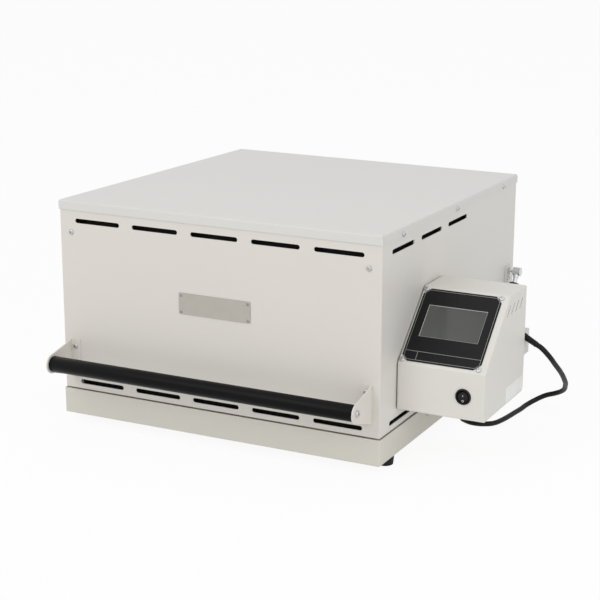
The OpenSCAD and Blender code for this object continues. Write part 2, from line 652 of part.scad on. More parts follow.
// The button is a disc with two tilted faces, turned on a pivot behind its middle
module rocker_button() color([0.05, 0.05, 0.05]) placed()
    translate([rocker_x, box_y0 + rocker_in, rocker_z]) rotate([rocker_angle / 2, 0, 0]) {
        face_right() cylinder(r = axle_r, h = axle_len, center = true);
        rocker_disc();
    }
module rocker_disc() intersection() {
        sphere(r = rocker_d / 2 - 2.1);
        rotate([90, 0, 90]) translate([0, 0, -rocker_d / 2]) linear_extrude(rocker_d) polygon(
            [[3, -6], [3, 6], [-2.2, rocker_d / 2 - 2.6], [-6.2, rocker_d / 2 - 2.6], [-4.4, 0],
             [-6.2, -rocker_d / 2 + 2.6], [-2.2, -rocker_d / 2 + 2.6]]);
    }
// The arm that carries the box on the base
arm_t = 2.5;
arm_w = 38;
arm_y = box_y1 - 16 - arm_w / 2;
arm_len = 110;
arm_screws = [box_x0 + 34, box_x0 + 94];
arm_rivets = [for (s = [-1, 1]) [arm_y + s * 10, base_top - 9]];
module control_bracket() color([0.82, 0.81, 0.78]) placed() difference() {
    union() {
        block([base_x + 0.1, arm_y - arm_w / 2, base_top - 17], [base_x + 0.1 + arm_t, arm_y + arm_w / 2, box_z0 - 0.1]);
        block([base_x + 0.1, arm_y - arm_w / 2, box_z0 - 0.1 - arm_t], [base_x + arm_len, arm_y + arm_w / 2, box_z0 - 0.1]);
    }
    for (x = arm_screws) translate([x, arm_y, box_z0]) cylinder(r = screw_r + hole_play, h = 20, center = true);
    for (at = arm_rivets) translate([base_x, at.x, at.y]) face_right()
        cylinder(r = rivet_r + hole_play, h = 20, center = true);
}

// Outlet of the lead, with a bore that points down and out
module outlet_axis() translate(exit_at) rotate([0, 90 + exit_tilt, 0]) children();
module cord_outlet() color([0.8, 0.79, 0.76]) placed() difference() {
    block([outlet_x1 - outlet_len, box_y1 + 0.1, outlet_z0], [outlet_x1, outlet_y1, outlet_z0 + outlet_h]);
    block([outlet_x1 - outlet_len + 2, box_y1 - 1, outlet_z0 + 2], [outlet_x1 - 2, outlet_y1 - 2, outlet_z0 + outlet_h - 2]);
    outlet_axis() cylinder(r = relief_r + hole_play, h = 40, center = true);
    for (s = [-1, 1]) translate([outlet_mid + s * 14, box_y1, outlet_z0 + 6]) face_back()
        cylinder(r = 1.5 + hole_play, h = 100, center = true);
}
outlet_mid = outlet_x1 - outlet_len / 2;
relief_r = lead_d / 2 + 1.2;
relief_in = 5;
module strain_relief() color([0.06, 0.06, 0.06]) placed() outlet_axis()
    rotate_extrude() polygon([[0, -relief_in], [relief_r, -relief_in], [relief_r, relief_in],
        [lead_d / 2 + 0.6, relief_len], [0, relief_len]]);

// Mains lead

lead_start = relief_tip + lead_d * [cos(exit_tilt), 0, -sin(exit_tilt)];
lead_points = concat([relief_tip, lead_start], lead_route, [[coil_at.x + lead_d + 8, coil_at.y - coil_r, coil_at.z]]);
// Rings of a tube of n sides along points, each square to the way through its point
function ring(points, i, r, n) =
    let (
        last = len(points) - 1,
        way = unit(points[min(i + 1, last)] - points[max(i - 1, 0)]),
        side = unit(cross(way, [0, 0, 1])),
        up = cross(side, way)
    )
    [for (k = [0:n - 1]) points[i] + r * (cos(360 * k / n) * side + sin(360 * k / n) * up)];
module tube(points, r, n) {
    rings = len(points);
    polyhedron(
        [for (i = [0:rings - 1]) each ring(points, i, r, n)],
        concat(
            [[for (k = [0:n - 1]) k]],
            [for (i = [0:rings - 2]) for (k = [0:n - 1])
                let (a = i * n + k, b = i * n + (k + 1) % n, c = b + n, d = a + n)
                each [[a, d, b], [b, d, c]]],
            [[for (k = [0:n - 1]) (rings - 1) * n + n - 1 - k]]
        )
    );
}
module power_cord() color([0.05, 0.05, 0.05]) placed() tube(lead_points, lead_d / 2, 8);

// The coil winds in on its lower layer, climbs where it turns round, and winds out again on top
coil_step = lead_d + 0.7;
coil_rise = lead_d + 0.7;
coil_end = 34;
function coil_radius(t) = coil_r - coil_step * (t < coil_turns / 2 ? t : coil_turns - t);
function coil_climb(t) = coil_rise * max(0, min(1, (t - coil_turns / 2 + 0.25) * 2));
function coil_point(t) = coil_at + [-coil_radius(t) * sin(360 * t), -coil_radius(t) * cos(360 * t), coil_climb(t)];
coil_per_turn = 24;
coil_points = concat(
    [coil_at + [lead_d + 8, -coil_r, 0]],
    [for (i = [0:coil_turns * coil_per_turn]) coil_point(i / coil_per_turn)],
    [coil_at + [-coil_end, -coil_r, coil_rise]]
);
coil_gap = min([for (i = [0:len(coil_points) - 1]) for (j = [i + 12:1:len(coil_points) - 1])
    norm(coil_points[i] - coil_points[j])]) - lead_d;
coil_length = sum_of([for (i = [1:len(coil_points) - 1]) norm(coil_points[i] - coil_points[i - 1])]);
lead_length = sum_of([for (i = [1:len(lead_points) - 1]) norm(lead_points[i] - lead_points[i - 1])]);
function sum_of(values, i = 0) = i < len(values) ? values[i] + sum_of(values, i + 1) : 0;
echo(least_gap_in_coil = coil_gap, coil_length = coil_length, lead_length = lead_length);
module cord_coil() color([0.05, 0.05, 0.05]) placed() tube(coil_points, lead_d / 2, 6);

// A band round both layers of the coil, at the side away from the kiln
tie_w = 13;
tie_t = 1;
tie_in = coil_r - coil_step * coil_turns / 2 - lead_d / 2 - 1.6;
tie_out = coil_r + lead_d / 2 + 0.8;
module cord_tie() color([0.1, 0.1, 0.1]) placed() translate([coil_at.x, coil_at.y, 0]) difference() {
    prism_x(rounded(rect([tie_in - tie_t, 0], [tie_out + tie_t, coil_at.z + coil_rise + lead_d / 2 + 0.6 + tie_t]),
        [2, 2, 3, 3]), -tie_w / 2, tie_w / 2);
    prism_x(rect([tie_in, tie_t], [tie_out, coil_at.z + coil_rise + lead_d / 2 + 0.6]), -tie_w, tie_w);
}
// The plug lies on the floor beside the coil, in line with the coil's end
plug_at = coil_at + [-coil_end, -coil_r, coil_rise];
blade_len = 17;
grip_at = 21;
plug_len = 51;
module plug_body() color([0.06, 0.06, 0.06]) placed() translate(plug_at) rotate([0, -90, 0]) {
    rotate_extrude() polygon([[0, 0.1], [lead_d / 2 + 0.4, 0.1], [lead_d / 2 + 2.2, 22], [0, 22]]);
    intersection() {
        translate([0, 0, grip_at]) linear_extrude(plug_len - grip_at) polygon(rounded(
            [[-plug_at.z + 0.2, -13], [-plug_at.z + 0.2, 13], [12, 13], [12, -13]], [5, 5, 6, 6]));
        translate([0, 0, grip_at]) cylinder(r1 = 12, r2 = 24, h = plug_len - grip_at);
    }
}
module plug_blades() color([0.82, 0.72, 0.45]) placed() translate(plug_at - [plug_len + 0.1, 0, 0]) {
    for (s = [-1, 1]) translate([-blade_len / 2, s * 6.35, 4]) cube([blade_len, 1.5, 6.3], center = true);
    translate([0, 0, -7.9]) rotate([0, -90, 0]) cylinder(r = 2.4, h = blade_len + 3);
}

// Hood

module panel_holes(y) {
    for (z = slot_rows) for (x = row(slot_n, slot_pitch_x))
        if (y < 0 || z == slot_rows[1]) translate([x, y, z]) slot_through(slot_len, slot_h, cut);
    for (x = [-panel_screw_x, panel_screw_x]) for (z = panel_rows(y))
        translate([x, y, z]) face_front() cylinder(r = screw_r + hole_play, h = cut, center = true);
}
module hood_front_panel() color([0.84, 0.83, 0.8]) placed() difference() {
    prism_z(rounded(rect([-side_x, -front_y], [side_x, -front_y + sheet_t]), [1.3, 1.3, 0, 0]),
        hood_low, cover_under - 0.05);
    panel_holes(-front_y);
    for (x = [-1, 1]) for (z = handle_screw_z) translate([x * handle_screw_x, -front_y, z]) face_front()
        cylinder(r = screw_r + hole_play, h = cut, center = true);
    for (at = rivet_at) translate([at.x, -front_y, plate_z + at.y]) face_front()
        cylinder(r = 1.2 + hole_play, h = cut, center = true);
}
module hood_rear_panel() color([0.82, 0.81, 0.78]) placed() difference() {
    prism_z(rounded(rect([-side_x, front_y - sheet_t], [side_x, front_y]), [0, 0, 1.3, 1.3]),
        hood_low, cover_under - 0.05);
    panel_holes(front_y);
    for (x = hinge_rivet_x) translate([x, front_y, hood_rivet_z]) face_back()
        cylinder(r = rivet_r + hole_play, h = 10, center = true);
    translate([0, front_y, couple_z]) face_back() cylinder(r = 4, h = 10, center = true);
}
return_w = 26;
side_slot_y = [for (i = [0:side_slot_n - 1]) -front_y + side_slot_in + i * slot_pitch_y];
// A side panel with its two inner returns, that the front and rear panels screw to
module side_panel() difference() {
    far = front_y - sheet_t - 0.05;
    prism_z(rounded([[side_x, -far], [side_x, far], [side_x - return_w, far], [side_x - return_w, far - sheet_t],
        [side_x - sheet_t, far - sheet_t], [side_x - sheet_t, -far + sheet_t],
        [side_x - return_w, -far + sheet_t], [side_x - return_w, -far]], [1, 1, 0, 0, 0, 0, 0, 0]),
        hood_low, cover_under - 0.05);
    for (z = slot_rows) for (y = side_slot_y) translate([side_x, y, z])
        rotate([0, 0, 90]) slot_through(slot_len, slot_h, 10);
    for (y = flange_screw_y) translate([side_x, y, flange_screw_z]) face_right()
        cylinder(r = screw_r + hole_play, h = 10, center = true);
    for (s = [-1, 1]) for (z = panel_rows(s)) translate([panel_screw_x, s * far, z]) face_front()
        cylinder(r = screw_r + hole_play, h = 20, center = true);
    for (z = handle_screw_z) translate([handle_screw_x, -far, z]) face_front()
        cylinder(r = screw_r + hole_play, h = 20, center = true);
    for (at = hood_plate_screws) translate([side_x, at.x, at.y]) face_right()
        cylinder(r = screw_r + hole_play, h = 10, center = true);
}
module hood_right_panel() color([0.81, 0.8, 0.78]) placed() side_panel();
module hood_left_panel() color([0.81, 0.8, 0.78]) placed() mirror([1, 0, 0]) side_panel();
// The sheet frame under the bricks, open over the chamber
module hood_frame() color([0.7, 0.7, 0.7]) placed() difference() {
    block([-side_x + sheet_t + seat, -front_y + 2 * sheet_t + seat, hood_low],
        [side_x - sheet_t - seat, front_y - 2 * sheet_t - seat, hood_low + sheet_t]);
    block([-room_x - ledge, -room_y - ledge, hood_low - 1], [room_x + ledge, room_y + ledge, hood_low + sheet_t + 1]);
}
module top_cover() color([0.84, 0.84, 0.84]) placed() {
    x = side_x + cover_lip;
    y = front_y + cover_lip;
    low = hood_top - flange_h;
    difference() {
        intersection() {
            prism_z(rounded(rect([-x, -y], [x, y]), [1, 1, 1, 1]), low, hood_top);
            prism_y(rounded(rect([-x, low], [x, hood_top]), [0, 0, bend_r, bend_r]), -y, y);
            prism_x(rounded(rect([-y, low], [y, hood_top]), [0, 0, bend_r, bend_r]), -x, x);
        }
        block([-x + sheet_t, -y + sheet_t, low - 1], [x - sheet_t, y - sheet_t, cover_under]);
        // The slits between the bent flanges, each with its relief hole
        for (sx = [-1, 1]) for (sy = [-1, 1]) {
            translate([sx * x, sy * (y - sheet_t - 0.3), (low + cover_under) / 2 - 1])
                cube([8, 0.5, cover_under - low + 1], center = true);
            translate([sx * (x - 0.4), sy * (y - 0.9), hood_top - 2.6]) cylinder(r = 1, h = 3);
        }
        both_sides() for (y1 = flange_screw_y) translate([x, y1, flange_screw_z]) face_right()
            cylinder(r = screw_r + hole_play, h = 10, center = true);
        for (x1 = flange_screw_x) translate([x1, y, flange_screw_z]) face_back()
            cylinder(r = screw_r + hole_play, h = 10, center = true);
    }
}
flange_screw_x = row(2, hood_w - 160);
module cover_screws() color([0.78, 0.78, 0.8]) placed() {
    both_sides() for (y = flange_screw_y) translate([side_x + cover_lip + 0.05, y, flange_screw_z]) face_right()
        screw(screw_r, head_r, 2.6, 9);
    for (x = flange_screw_x) translate([x, front_y + cover_lip + 0.05, flange_screw_z]) face_back()
        screw(screw_r, head_r, 2.6, cover_lip - 0.15);
}
module panel_screws() color([0.78, 0.78, 0.8]) placed() {
    for (s = [-1, 1]) for (x = [-panel_screw_x, panel_screw_x])
        for (z = panel_rows(s))
            translate([x, s * (front_y + 0.05), z]) rotate([-s * 90, 0, 0]) screw(screw_r, head_r, 2.6, 10);
    both_sides() for (at = hood_plate_screws) translate([side_x + 0.15 + strut_plate_t, at.x, at.y]) face_right()
        screw(screw_r, head_r, 2.4, 10);
}

// Insulated lining
module inner_case() color([0.62, 0.62, 0.62]) placed() difference() {
    block([-case_x, -case_y, brick_low - seat + 0.05], [case_x, case_y, case_top]);
    block([-case_x + case_t, -case_y + case_t, hood_low], [case_x - case_t, case_y - case_t, case_top - case_t]);
    translate([0, case_y, couple_z]) face_back() cylinder(r = 4, h = 20, center = true);
}
groove_h = 12;
groove_in = 13;
groove_z = [for (i = [0:2]) brick_low + 50 + i * 58];
joint_w = 0.8;
// A wall of bricks along X, with its joints and the element grooves on the room side
module wall_cuts(from, to, face) {
    for (z = row_from(brick_low, brick_top - brick_t, 114)) block([from, face - 2, z], [to, face + 2, z + joint_w]);
}
function row_from(low, high, pitch) = [for (z = [low + pitch:pitch:high - 20]) z];
module bricks_long(s) difference() {
    y0 = room_y;
    block([-brick_x, s > 0 ? y0 : -brick_y, brick_low], [brick_x, s > 0 ? brick_y : -y0, room_top - seat]);
    wall_cuts(-room_x, room_x, s * y0);
    for (x = row(2, 229)) block([x, s * y0 - 2, brick_low - 1], [x + joint_w, s * y0 + 2, room_top]);
    if (s > 0) {
        for (z = groove_z) block([-room_x - 1, y0 - 1, z], [room_x + 1, y0 + groove_in, z + groove_h]);
        translate([0, y0, couple_z]) face_back() cylinder(r = 3.6, h = 3 * brick_t, center = true);
    }
}
module bricks_front() color([0.94, 0.9, 0.8]) placed() bricks_long(-1);
module bricks_rear() color([0.94, 0.9, 0.8]) placed() bricks_long(1);
module bricks_side() difference() {
    block([room_x, -room_y + seat, brick_low], [brick_x, room_y - seat, room_top - seat]);
    for (z = row_from(brick_low, brick_top - brick_t, 114))
        block([room_x - 2, -room_y, z], [room_x + 2, room_y, z + joint_w]);
    for (y = row(2, 229)) block([room_x - 2, y, brick_low - 1], [room_x + 2, y + joint_w, room_top]);
    for (z = groove_z) block([room_x - 1, -room_y - 1, z], [room_x + groove_in, room_y + 1, z + groove_h]);
}
module bricks_right() color([0.94, 0.9, 0.8]) placed() bricks_side();
module bricks_left() color([0.94, 0.9, 0.8]) placed() mirror([1, 0, 0]) bricks_side();
module bricks_top() color([0.94, 0.9, 0.8]) placed() difference() {
    block([-brick_x, -brick_y, room_top], [brick_x, brick_y, brick_top]);
    for (x = row(4, 114)) block([x, -room_y, room_top - 1], [x + joint_w, room_y, room_top + 2]);
    block([-room_x, 0, room_top - 1], [room_x, joint_w, room_top + 2]);
}
element_r = 4.5;
element_end = 14;
// Heating elements in the grooves of the sides and the back
module elements() color([0.35, 0.33, 0.32]) placed()
    for (z = groove_z) {
        both_sides() translate([room_x + groove_in - element_r - 0.8, -room_y + element_end, z + element_r + 0.8])
            rotate([-90, 0, 0]) cylinder(r = element_r, h = 2 * (room_y - element_end));
        translate([-room_x + element_end, room_y + groove_in - element_r - 0.8, z + element_r + 0.8]) face_right()
            cylinder(r = element_r, h = 2 * (room_x - element_end));
    }
couple_low = 30;
couple_z = room_top - couple_low;
// Thermocouple through the back wall, with its head behind the rear panel
module thermocouple() color([0.55, 0.55, 0.56]) placed() translate([0, 0, couple_z]) {
    translate([0, room_y - 26, 0]) face_back() cylinder(r = 3.2, h = hinge_y - room_y + 26);
    translate([0, front_y + 0.1, 0]) face_back() cylinder(r = 9, h = 9, $fn = 6);
}

// Front fittings
module name_plate() color([0.8, 0.8, 0.81]) placed() difference() {
    prism_y(rounded(rect([-plate_w / 2, plate_z - plate_h / 2], [plate_w / 2, plate_z + plate_h / 2]), [2, 2, 2, 2]),
        -front_y - 0.9, -front_y - 0.1);
    for (at = rivet_at) translate([at.x, -front_y, plate_z + at.y]) face_front()
        cylinder(r = 1.2 + hole_play, h = 10, center = true);
}
module plate_rivets() color([0.85, 0.85, 0.86]) placed()
    for (at = rivet_at) translate([at.x, -front_y - 0.95, plate_z + at.y]) face_front()
        rivet(1.2, 2.4, 3.2);
bracket_shape = concat(
    [[-front_y - 0.1, bracket_z0], [-front_y - 0.1, bracket_z1], [-front_y - 20, bracket_z1 - 6]],
    [for (a = [96:12:276]) [bar_y + nose_r * cos(a), bar_z + nose_r * sin(a)]]
);
module handle_brackets() color([0.83, 0.82, 0.79]) placed() both_sides() difference() {
    union() {
        prism_x(bracket_shape, bracket_x - bracket_t, bracket_x);
        block([bracket_x - bracket_flange, -front_y - 0.1 - bracket_t, bracket_z0],
            [bracket_x, -front_y - 0.1, bracket_z1]);
    }
    translate([bracket_x, bar_y, bar_z]) face_right() cylinder(r = screw_r + hole_play, h = 20, center = true);
    for (z = handle_screw_z) translate([handle_screw_x, -front_y, z]) face_front()
        cylinder(r = screw_r + hole_play, h = 20, center = true);
}
module handle_bar() color([0.06, 0.06, 0.06]) placed() difference() {
    translate([-bracket_x + bracket_t + seat, bar_y, bar_z]) face_right()
        cylinder(d = bar_d, h = 2 * (bracket_x - bracket_t - seat));
    both_sides() translate([bracket_x - 24, bar_y, bar_z]) face_right() cylinder(r = screw_r + hole_play, h = 30);
}
module handle_screws() color([0.78, 0.78, 0.8]) placed() both_sides() {
    translate([bracket_x + 0.05, bar_y, bar_z]) face_right() screw(screw_r, bar_head_r, 3, 20);
    for (z = handle_screw_z) translate([handle_screw_x, -front_y - 0.15 - bracket_t, z]) face_front()
        screw(screw_r, head_r, 2.4, 9);
}

base_pan();
floor_bricks();
hearth_board();
feet();
foot_screws();
hinge_leaf_base();
hinge_pin();
base_rivets();
strut_base_brackets();
strut_base_studs();
control_bracket();
box_shell();
box_back();
face_plate();
screen_glass();
face_screws();
box_screws();
display_module();
control_board();
relays();
terminal_block();
switch_body();
cord_outlet();
strain_relief();
power_cord();
cord_coil();
cord_tie();
plug_body();
plug_blades();
rocker_button();
hood_front_panel();
hood_rear_panel();
hood_left_panel();
hood_right_panel();
hood_frame();
top_cover();
cover_screws();
panel_screws();
inner_case();
bricks_front();
bricks_rear();
bricks_left();
bricks_right();
bricks_top();
elements();
thermocouple();
name_plate();
plate_rivets();
handle_brackets();
handle_bar();
handle_screws();
hinge_leaf_hood();
hinge_spacer();
hinge_rivets_hood();
strut_hood_brackets();
strut_hood_studs();
strut_tube_left();
strut_tube_right();
strut_rod_left();
strut_rod_right();
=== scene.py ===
import bpy
import bmesh
from math import cos, sin, pi, radians
from mathutils import Matrix, Vector


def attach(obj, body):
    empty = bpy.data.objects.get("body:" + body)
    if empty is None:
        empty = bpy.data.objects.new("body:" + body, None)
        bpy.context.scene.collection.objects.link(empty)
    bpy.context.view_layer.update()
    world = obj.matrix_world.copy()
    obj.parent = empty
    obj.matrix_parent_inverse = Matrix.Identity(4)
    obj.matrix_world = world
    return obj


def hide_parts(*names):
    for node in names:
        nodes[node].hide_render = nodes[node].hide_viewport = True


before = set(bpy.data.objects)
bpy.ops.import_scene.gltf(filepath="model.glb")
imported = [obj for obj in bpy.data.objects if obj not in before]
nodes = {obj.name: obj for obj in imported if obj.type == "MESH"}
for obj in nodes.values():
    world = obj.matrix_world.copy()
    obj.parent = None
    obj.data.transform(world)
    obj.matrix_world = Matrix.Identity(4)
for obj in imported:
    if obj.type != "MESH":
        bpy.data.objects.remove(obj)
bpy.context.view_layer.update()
scene = bpy.context.scene
print("frame loaded:", len(nodes), "nodes")

origin = dict(x=58.3, y=-28.85)  # of the part's frame, in mm from the middle of the kiln itself


def at(x, y, z):  # millimetres from the middle of the kiln itself, to the part's frame in metres
    return Vector(((x - origin["x"]) / 1000, (y - origin["y"]) / 1000, z / 1000))


# Camera at the photograph's angle

view = dict(place=(1.06802, -2.16183, 0.82527), yaw=23.820, pitch=14.863, roll=1.030, lens=89.16,
            shiftX=-0.1438, sensor=36, far=100)


def addCamera(v):
    a, e, r = radians(v["yaw"]), radians(v["pitch"]), radians(v["roll"])
    forward = Vector((-sin(a) * cos(e), cos(a) * cos(e), -sin(e)))
    right = Vector((cos(a), sin(a), 0))
    up = right.cross(forward)
    side = right * cos(r) + up * sin(r)
    top = up * cos(r) - right * sin(r)
    data = bpy.data.cameras.new("camera")
    data.lens, data.sensor_width, data.shift_x = v["lens"], v["sensor"], v["shiftX"]
    data.clip_end = v["far"]
    camera = bpy.data.objects.new("camera", data)
    turn = Matrix((side, top, -forward)).transposed().to_4x4()
    camera.matrix_world = Matrix.Translation(Vector(v["place"])) @ turn
    scene.collection.objects.link(camera)
    scene.camera = camera


addCamera(view)

# Mains lead: out of the relief, down to the floor, round a loose loop, under the box and back
# along the kiln, and into a tied coil behind it

lead = dict(
    across=8.4, tilt=28, outlet=(417, -42.8, 173), relief=24,
    route=[
        (456.5, -38, 145.5), (462, -18, 126), (463, 14, 103), (459, 50, 79), (448, 92, 56.5), (436, 118, 38),
        (420.5, 128, 28), (402, 132, 20), (389, 128, 13), (376.5, 112, 6), (373, 90, 4.2), (370, 67, 4.2),
        (367, 43, 4.2), (363, 20, 4.2), (356, 0, 4.2), (344, -10, 4.2), (329, -14, 4.2), (313, -10, 4.2),
        (300, 1, 4.2), (294, 20, 4.2), (293, 46, 4.2), (293, 80, 4.2), (293, 120, 4.2), (293, 160, 4.2),
        (293, 200, 4.2), (293, 240, 4.2), (291, 270, 4.2), (284, 298, 4.2), (266, 318, 4.8), (243, 328, 5.4)],
    coil=(205, 381, 5.4), coilRadius=53, coilStep=9.1, coilRise=9.1, riseTurns=0.5, turns=3, steps=24,
    coilIn=8, coilEnd=34)


def leadLine(v):
    tilt = radians(v["tilt"])
    way = Vector((cos(tilt), 0, -sin(tilt)))
    tip = Vector(v["outlet"]) + way * v["relief"]
    line = [tip, tip + way * v["across"]] + [Vector(p) for p in v["route"]]
    middle = Vector(v["coil"])
    line.append(middle + Vector((v["across"] + v["coilIn"], -v["coilRadius"], 0)))
    for i in range(v["turns"] * v["steps"] + 1):
        t = i / v["steps"]
        r = v["coilRadius"] - v["coilStep"] * min(t, v["turns"] - t)
        rise = v["coilRise"] * max(0, min(1, (t - v["turns"] / 2) / v["riseTurns"] + 0.5))
        line.append(middle + Vector((-r * sin(2 * pi * t), -r * cos(2 * pi * t), rise)))
    line.append(middle + Vector((-v["coilEnd"], -v["coilRadius"], v["coilRise"])))
    return [at(*p) for p in line]


def curvePiece(name, lines, radius, kind="BEZIER", sides=4, smooth=6):
    curve = bpy.data.curves.new(name, "CURVE")
    curve.dimensions = "3D"
    curve.resolution_u = curve.render_resolution_u = smooth
    curve.bevel_depth = radius
    curve.bevel_resolution = sides
    curve.use_fill_caps = True
    for line in lines:
        spline = curve.splines.new(kind)
        if kind == "BEZIER":
            spline.bezier_points.add(len(line) - 1)
            for point, place in zip(spline.bezier_points, line):
                point.co = place
                point.handle_left_type = point.handle_right_type = "AUTO"
        else:
            spline.points.add(len(line) - 1)
            for point, place in zip(spline.points, line):
                point.co = (*place, 1)
    piece = bpy.data.objects.new(name, curve)
    scene.collection.objects.link(piece)
    return piece


leadPoints = leadLine(lead)
leadPiece = curvePiece("mainsLead", [leadPoints], lead["across"] / 2000)
print("mains lead drawn:", len(leadPoints), "points")

# Meshes

def finishMesh(name, bm, body, smooth=True, turn=None, place=None):
    if turn is not None:
        bmesh.ops.transform(bm, matrix=turn, verts=bm.verts)
    if place is not None:
        bmesh.ops.translate(bm, vec=place, verts=bm.verts)
    bmesh.ops.remove_doubles(bm, verts=bm.verts, dist=1e-6)
    bmesh.ops.recalc_face_normals(bm, faces=bm.faces)
    mesh = bpy.data.meshes.new(name)
    bm.to_mesh(mesh)
    bm.free()
    if smooth:
        mesh.shade_smooth()
        mesh.set_sharp_from_angle(angle=radians(35))
    piece = bpy.data.objects.new(name, mesh)
    scene.collection.objects.link(piece)
    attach(piece, body)
    return piece


def lathe(bm, profile, steps):  # profile of (radius, height) in mm, spun about z
    made = [bm.verts.new((r / 1000, 0, h / 1000)) for r, h in profile]
    edges = [bm.edges.new(pair) for pair in zip(made, made[1:])]
    bmesh.ops.spin(bm, geom=made + edges, cent=(0, 0, 0), axis=(0, 0, 1), angle=2 * pi, steps=steps,
                   use_merge=True)
    bmesh.ops.remove_doubles(bm, verts=bm.verts, dist=1e-6)


def roundBlock(bm, matrix, soft):  # a block of size 1 put in place by the matrix, its edges rounded by soft mm
    made = bmesh.ops.create_cube(bm, size=1, matrix=matrix)
    edges = {e for v in made["verts"] for e in v.link_edges}
    bmesh.ops.bevel(bm, geom=list(edges), offset=soft / 1000, segments=2, profile=0.5, affect="EDGES",
                    material=-1)


def hollow(bm, face, width, shift, even=True):  # leaves a ring of the face, width mm wide and shift mm thick
    face.normal_update()
    bmesh.ops.inset_region(bm, faces=[face], thickness=width / 1000, use_even_offset=even, use_boundary=True)
    bmesh.ops.delete(bm, geom=[face], context="FACES")
    walls = bmesh.ops.extrude_face_region(bm, geom=list(bm.faces))
    moved = [g for g in walls["geom"] if isinstance(g, bmesh.types.BMVert)]
    bmesh.ops.translate(bm, vec=Vector(shift) / 1000, verts=moved)


# Frame of the control box's slope: x right, y up the slope, z out of it

slope = dict(x=348.6, y=-232.5, z=162.7, angle=43.786, mid=70.3, screenUp=77.8, faceWide=127, faceHigh=130,
             screenWide=95, screenHigh=56.5, faceThick=0.8)


def onSlope():
    foot = Matrix.Translation(at(slope["x"], slope["y"], slope["z"]))
    return foot @ Matrix.Rotation(radians(slope["angle"]), 4, "X")


def outlineRing(bm, corners, width, low, high):  # a raised line along a closed outline, in mm
    base = [bm.verts.new((x / 1000, y / 1000, low / 1000)) for x, y in corners]
    hollow(bm, bm.faces.new(base), width, (0, 0, high - low))


def addLine(bm, middle, wide, high, low, top):  # a straight raised line, in mm
    size = Matrix.Diagonal((wide / 1000, high / 1000, (top - low) / 1000, 1))
    place = Matrix.Translation(Vector((*middle, (low + top) / 2)) / 1000)
    bmesh.ops.create_cube(bm, size=1, matrix=place @ size)


def rectangle(wide, high, midY):
    w, low, top = wide / 2, midY - high / 2, midY + high / 2
    return [(-w, low), (w, low), (w, top), (-w, top)]


def cutRectangle(wide, high, cut, midY):
    w, low, top = wide / 2, midY - high / 2, midY + high / 2
    return [(-w + cut, low), (w - cut, low), (w, low + cut), (w, top - cut), (w - cut, top), (-w + cut, top),
            (-w, top - cut), (-w, low + cut)]


# Materials

class Value:  # a socket that takes part in sums
    def __init__(self, paint, socket):
        self.paint, self.socket = paint, socket

    def sum(self, operation, first, second):
        return self.paint.node("ShaderNodeMath", {0: first, 1: second}, operation=operation)

    def __add__(self, other):
        return self.sum("ADD", self, other)

    def __radd__(self, other):
        return self.sum("ADD", other, self)

    def __mul__(self, other):
        return self.sum("MULTIPLY", self, other)

    def __rmul__(self, other):
        return self.sum("MULTIPLY", other, self)


class Paint:
    def __init__(self, name, **constants):
        self.material = bpy.data.materials.new(name)
        self.material.use_nodes = True
        self.tree = self.material.node_tree
        self.shader = self.tree.nodes["Principled BSDF"]
        for socket, value in constants.items():
            self.shader.inputs[socket.replace("_", " ")].default_value = value

    def node(self, kind, sockets, out=0, stops=None, **settings):
        made = self.tree.nodes.new(kind)
        for key, value in settings.items():
            setattr(made, key, value)
        if stops:
            ramp = made.color_ramp
            while len(ramp.elements) < len(stops):
                ramp.elements.new(0.5)
            for element, (position, colour) in zip(ramp.elements, stops):
                element.position, element.color = position, colour
        for key, value in sockets.items():
            if isinstance(value, Value):
                self.tree.links.new(value.socket, made.inputs[key])
            else:
                made.inputs[key].default_value = value
        return Value(self, made.outputs[out])

    def place(self, *stretch):
        spot = self.node("ShaderNodeTexCoord", {}, out="Object")
        if not stretch:
            return spot
        return self.node("ShaderNodeVectorMath", {0: spot, 1: stretch}, operation="MULTIPLY")

    def noise(self, spot, scale, detail=2, rough=0.5):
        return self.node("ShaderNodeTexNoise",
                         {"Vector": spot, "Scale": scale, "Detail": detail, "Roughness": rough})

    def cells(self, spot, scale, out="Distance", **settings):
        return self.node("ShaderNodeTexVoronoi", {"Vector": spot, "Scale": scale}, out=out, **settings)

    def ramp(self, value, *stops):
        return self.node("ShaderNodeValToRGB", {"Fac": value}, stops=[(p, (c, c, c, 1)) for p, c in stops])

    def mix(self, amount, first, second):
        return self.node("ShaderNodeMix", {0: amount, 6: first, 7: second}, out=2, data_type="RGBA")

    def split(self, spot, axis):
        return self.node("ShaderNodeSeparateXYZ", {"Vector": spot}, out=axis)

    def bump(self, height, distance, strength):
        return self.node("ShaderNodeBump", {"Height": height, "Distance": distance, "Strength": strength})

    def use(self, **links):
        for socket, value in links.items():
            self.tree.links.new(value.socket, self.shader.inputs[socket.replace("_", " ")])
        return self.material


def tone(r, g, b):  # screen colour 0 to 255, to linear
    def one(c):
        c /= 255
        return c / 12.92 if c <= 0.04045 else ((c + 0.055) / 1.055) ** 2.4
    return (one(r), one(g), one(b), 1)


def shade(colour, k):
    return (*[min(1, c * k) for c in colour[:3]], 1)


# front, side and top are copies of the hood's one enamel with slightly different tones: painted light, each
# set for how the lamps fall on that face
powder = dict(front=(221, 217, 210), side=(222, 219, 214), top=(218, 217, 214), base=(215, 212, 202),
              box=(222, 219, 213), peelScale=950, gritScale=3200)


def powderCoat(name, colour):  # satin enamel with a fine orange peel
    p = Paint(name, Specular_IOR_Level=0.42)
    spot = p.place()
    drift = p.noise(spot, 5, 3)
    peel = p.noise(spot, powder["peelScale"], 2)
    grit = p.noise(spot, powder["gritScale"], 1)
    base = tone(*colour)
    return p.use(Base_Color=p.mix(drift * 0.7 + grit * 0.3, shade(base, 0.965), shade(base, 1.025)),
                 Roughness=0.36 + 0.12 * drift + 0.1 * grit,
                 Normal=p.bump(peel * 0.7 + grit * 0.3, 0.00006, 0.5))


